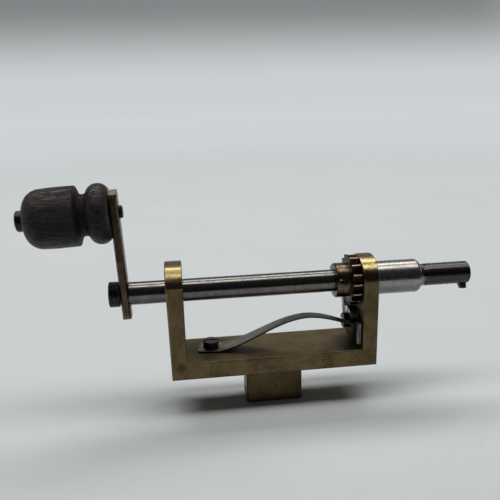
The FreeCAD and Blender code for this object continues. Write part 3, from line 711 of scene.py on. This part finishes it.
def add_leaf_uv(piece, direction, square):
    """A map in millimetres: along the leaf from its screw, and across it."""
    mesh = piece.data
    places = np.zeros(len(mesh.vertices) * 3)
    mesh.vertices.foreach_get("co", places)
    plan = places.reshape(-1, 3)[:, :2] / MM - LEAF_SCREW
    corners = np.zeros(len(mesh.loops), dtype=np.int32)
    mesh.loops.foreach_get("vertex_index", corners)
    uv = np.stack([plan @ direction, plan @ square], axis=-1)[corners]
    layer = mesh.uv_layers.new(name="along_and_across")
    layer.data.foreach_set("uv", uv.ravel())


# ---------------------------------------------------------------- worn solids

# Points nearer than this are joined. In radians: faces flatter to each other than the first angle
# are joined, and edges sharper than the second are worn round.
SAME_PLACE = 0.002
SAME_PLANE = 0.01
SHARP = 0.6


def eased(value, low, high):
    """0 below low, 1 above high, and a soft step between them."""
    share = np.clip((value - low) / (high - low), 0, 1)
    return share * share * (3 - 2 * share)


def worn_tops(shape):
    """The yoke's round tops are flatter than half circles: their height above the new start is
    pressed together evenly. They are spread a little outwards too, by a soft step in height."""
    places = np.array([vertex.co for vertex in shape.verts])
    x, across, height = (places / MM).T
    left = x < 0
    top = np.where(left, *ARCH_TOPS)
    pressed = (top - np.where(left, *ARCH_STARTS)) / HALF_DEPTH
    outside_bore = np.hypot(across, height - AXIS_HEIGHT) > OUTSIDE_BORE
    on_arch = (height > top - HALF_DEPTH - 0.05) & outside_bore
    height = np.where(on_arch, top - (top - height) * pressed, height)
    leans = [shift * eased(height, low, high) for shift, low, high in ARCH_LEANS]
    places[:, 0] += np.where(left, *leans) * (np.abs(x) > HALF_LENGTH - 1) * MM
    places[:, 2] = height * MM
    for vertex, place in zip(shape.verts, places):
        vertex.co = place


def flat_tips(shape):
    """The wheel's teeth end in narrow flats: the edge at each tip is cut off, and the cut's lower
    side is raised along the tooth's radial face until both sides are equally far out."""

    def reach(vertex):
        return np.hypot(vertex.co.y / MM, vertex.co.z / MM - AXIS_HEIGHT)

    tips = [
        edge
        for edge in shape.edges
        if min(map(reach, edge.verts)) > WHEEL_RADIUS - 0.05
        and abs(edge.verts[0].co.x - edge.verts[1].co.x) > MM
    ]
    bmesh.ops.bevel(
        shape, geom=tips, offset=TIP_FLAT * MM, segments=1, affect="EDGES", clamp_overlap=True
    )
    flat = max(map(reach, shape.verts))
    for vertex in shape.verts:
        if WHEEL_RADIUS - 1.5 * TIP_FLAT < reach(vertex) < flat:
            grown = flat / reach(vertex)
            vertex.co.y *= grown
            vertex.co.z = (vertex.co.z - AXIS_HEIGHT * MM) * grown + AXIS_HEIGHT * MM


def worn_copy(node, body, edge, reshape=None):
    """A solid's skin with its flat faces joined and its sharp edges worn round, in its place."""
    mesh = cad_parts[node].data.copy()
    shape = bmesh.new()
    shape.from_mesh(mesh)
    bmesh.ops.remove_doubles(shape, verts=shape.verts, dist=SAME_PLACE * MM)
    bmesh.ops.dissolve_limit(shape, angle_limit=SAME_PLANE, verts=shape.verts, edges=shape.edges)
    if reshape:
        reshape(shape)
    shape.to_mesh(mesh)
    shape.free()
    mesh.polygons.foreach_set("use_smooth", np.ones(len(mesh.polygons), dtype=bool))
    mesh.materials.clear()
    mesh.materials.append(finishes[node])
    piece = bpy.data.objects.new("worn_" + node, mesh)
    bpy.context.scene.collection.objects.link(piece)
    bevel = piece.modifiers.new("worn_edges", "BEVEL")
    bevel.width = edge * MM
    bevel.segments = 2
    bevel.limit_method = "ANGLE"
    bevel.angle_limit = SHARP
    piece.modifiers.new("flat_faces", "WEIGHTED_NORMAL")
    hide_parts(node)
    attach(piece, body)
    return piece


# ---------------------------------------------------------------- dressing

yoke_brass = aged_brass()
finishes = {
    "yoke_frame": yoke_brass,
    "vise_tongue": yoke_brass,
    "arbor": turned_steel(),
    "arbor_hook": black_steel("blacked_hook", ARBOR_PLACE, ALONG_X, radius=9.0),
    "ratchet_wheel": wheel_bronze(),
    "wheel_pin": pin_steel(),
    "click": click_steel(),
    "click_screw": black_steel("blacked_click_screw", CLICK_PIVOT, ALONG_X, radius=2.45),
    "spring_screw": black_steel("blacked_leaf_screw", (*LEAF_SCREW, BASE_TOP), UPWARDS, radius=2.5),
    "crank_arm": crank_bronze(),
    "crank_screw": black_steel("blacked_crank_screw", ARBOR_PLACE, ALONG_X, radius=3.85),
    "handle_pin": black_steel("blacked_handle_pin", KNOB_PLACE, KNOB_AXIS, radius=3.1),
    "handle_knob": dark_wood(),
}
for name, material in finishes.items():
    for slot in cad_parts[name].material_slots:
        slot.material = material

worn_yoke = worn_copy("yoke_frame", "frame", 0.1, worn_tops)
worn_wheel = worn_copy("ratchet_wheel", "arbor_and_crank", 0.12, flat_tips)
worn_click = worn_copy("click", "click_body", 0.12)

turned_knob = knob()
turned_knob.data.materials.append(finishes["handle_knob"])
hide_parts("handle_knob")
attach(turned_knob, "knob_body")

leaf = leaf_spring()
leaf.data.materials.append(leaf_steel())
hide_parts("click_spring")
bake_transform(leaf)


# ---------------------------------------------------------------- floor, light and camera

FLOOR_DROP = 0.03
BACKDROP_MIDDLE = (250, 2300, 300)


def sweep(name, half_width, front, back, bend, height):
    """Floor and backdrop in one sheet: flat, then a quarter turn up, then upright."""
    turn = np.linspace(0, np.pi / 2, 24)
    flat = np.linspace(front, back, 40)[:-1]
    x = np.linspace(-half_width, half_width, 3)
    y = np.concatenate([flat, back + bend * np.sin(turn), [back + bend]])
    z = np.concatenate([np.zeros(len(flat)), bend * (1 - np.cos(turn)), [height]])
    grid = np.stack(np.broadcast_arrays(x, y[:, None], z[:, None]), axis=-1)
    row, column = np.meshgrid(np.arange(len(y) - 1), np.arange(2), indexing="ij")
    start = row * 3 + column
    quads = np.stack([start, start + 1, start + 4, start + 3], axis=-1).reshape(-1, 4)
    mesh = bpy.data.meshes.new(name)
    mesh.from_pydata(grid.reshape(-1, 3).tolist(), [], quads.tolist())
    mesh.polygons.foreach_set("use_smooth", np.ones(len(quads), dtype=bool))
    piece = bpy.data.objects.new(name, mesh)
    piece.location.z = -FLOOR_DROP * MM
    bpy.context.scene.collection.objects.link(piece)
    return piece


def floor_paper():
    """Pale blue-grey paper with a faint fibre and a few scuffs. Far from the object it shows its
    own tone to the camera, darker towards the top and pale again at the sides."""
    paper = Finish("pale_floor", Roughness=0.75, Specular_IOR_Level=0.2, Emission_Strength=1.0)
    cloud = paper.noise(0.012, detail=3)
    fibre = paper.noise(0.8, stretch=(0.3, 1, 1), detail=4)
    scuffs = paper.noise(
        0.03, stretch=(1, 0.2, 1), turn=(0, 0, 0.9), detail=8, rough=0.75, warp=1.5
    )
    colour = paper.colours(cloud, PAPER_COOL, PAPER_PALE)
    # Painted shade: the floor grows darker towards the front.
    front = (paper.y * -1).rise(10, 120)
    tone = 0.985 + fibre * 0.03 - scuffs.rise(0.62, 0.66) * 0.03 - front * 0.12
    far = paper.apart((0, 0, 0)).rise(220, 900) * seen_rays(paper)
    in_camera = paper.add("ShaderNodeLightPath", {}, {}, "Is Camera Ray")
    aside = in_camera * paper.apart(BACKDROP_MIDDLE).rise(900, 1700)
    dark_top = paper.z.rise(90, 400) * (1 - aside)
    glow = paper.colours(dark_top, BACKDROP_PALE, BACKDROP_DARK)
    paper.feed("Base Color", paper.shade(colour, tone * (1 - far)))
    paper.feed("Emission Color", paper.shade(glow, far))
    paper.relief(fibre, 0.02)
    return paper.material


def seen_rays(nodes):
    """1 for rays that show a background: the camera's, and those off or through the object."""
    names = ("Is Camera Ray", "Is Glossy Ray", "Is Transmission Ray")
    kinds = [nodes.add("ShaderNodeLightPath", {}, {}, name) for name in names]
    return kinds[0].most(kinds[1]).most(kinds[2])


floor = sweep("floor_and_backdrop", 3.0, -0.26, 1.7, 0.6, 3.0)
floor.data.materials.append(floor_paper())

LAMP_REACH = 1.3
LAMP_LENGTH = 2.0


def strip_lamp(name, behind, width, strength):
    """A long soft lamp over the object, tipped back from straight above by an angle in degrees."""
    light = bpy.data.lights.new(name, "AREA")
    light.shape = "RECTANGLE"
    light.size, light.size_y = LAMP_LENGTH, width
    light.energy = strength * np.pi * LAMP_LENGTH * width
    light.color = LAMP_WHITE
    holder = bpy.data.objects.new(name, light)
    away = Vector((0, np.sin(np.radians(behind)), np.cos(np.radians(behind))))
    holder.location = away * LAMP_REACH + Vector((0, 0, AXIS_HEIGHT * MM))
    holder.rotation_euler = (-away).to_track_quat("-Z", "Y").to_euler()
    bpy.context.scene.collection.objects.link(holder)


strip_lamp("upper_lamp", behind=-2, width=0.42, strength=3.4)
strip_lamp("rear_lamp", behind=29, width=0.34, strength=4.2)

world = bpy.data.worlds.new("studio")
bpy.context.scene.world = world
world.use_nodes = True
room = Nodes(world.node_tree, "Background")
direction = room.add("ShaderNodeTexCoord", {}, {}, "Generated")
upward = room.add("ShaderNodeSeparateXYZ", {}, [direction], "Z")
backward = room.add("ShaderNodeSeparateXYZ", {}, [direction], "Y")
camera_ray = room.add("ShaderNodeLightPath", {}, {}, "Is Camera Ray")
low_back = backward.rise(-0.1, 0.2) * (1 - upward.rise(0.15, 0.5))
shown = camera_ray.most(seen_rays(room) * low_back)
dim_room = room.colours(upward.rise(-0.2, 0.9), ROOM_LOW, ROOM_HIGH)
room.feed("Color", room.colours(shown, dim_room, BACKDROP_PALE))
room.shader.inputs["Strength"].default_value = 1.0

CAMERA_PLACE = (-27.300, -172.492, 98.887)
CAMERA_RIGHT = (0.9915391, -0.12762593, -0.02370304)
CAMERA_UP = (0.05750925, 0.26819578, 0.96164635)
CAMERA_VIEW = (0.11637395, 0.9548731, -0.27326628)
camera_data = bpy.data.cameras.new("camera")
camera_data.lens = 42.598
camera_data.clip_start = 0.005
camera = bpy.data.objects.new("camera", camera_data)
turn = Matrix((CAMERA_RIGHT, CAMERA_UP, [-c for c in CAMERA_VIEW])).transposed()
camera.matrix_world = Matrix.Translation(Vector(CAMERA_PLACE) * MM) @ turn.to_4x4()
bpy.context.scene.collection.objects.link(camera)
bpy.context.scene.camera = camera
bpy.context.scene.view_settings.view_transform = "Standard"
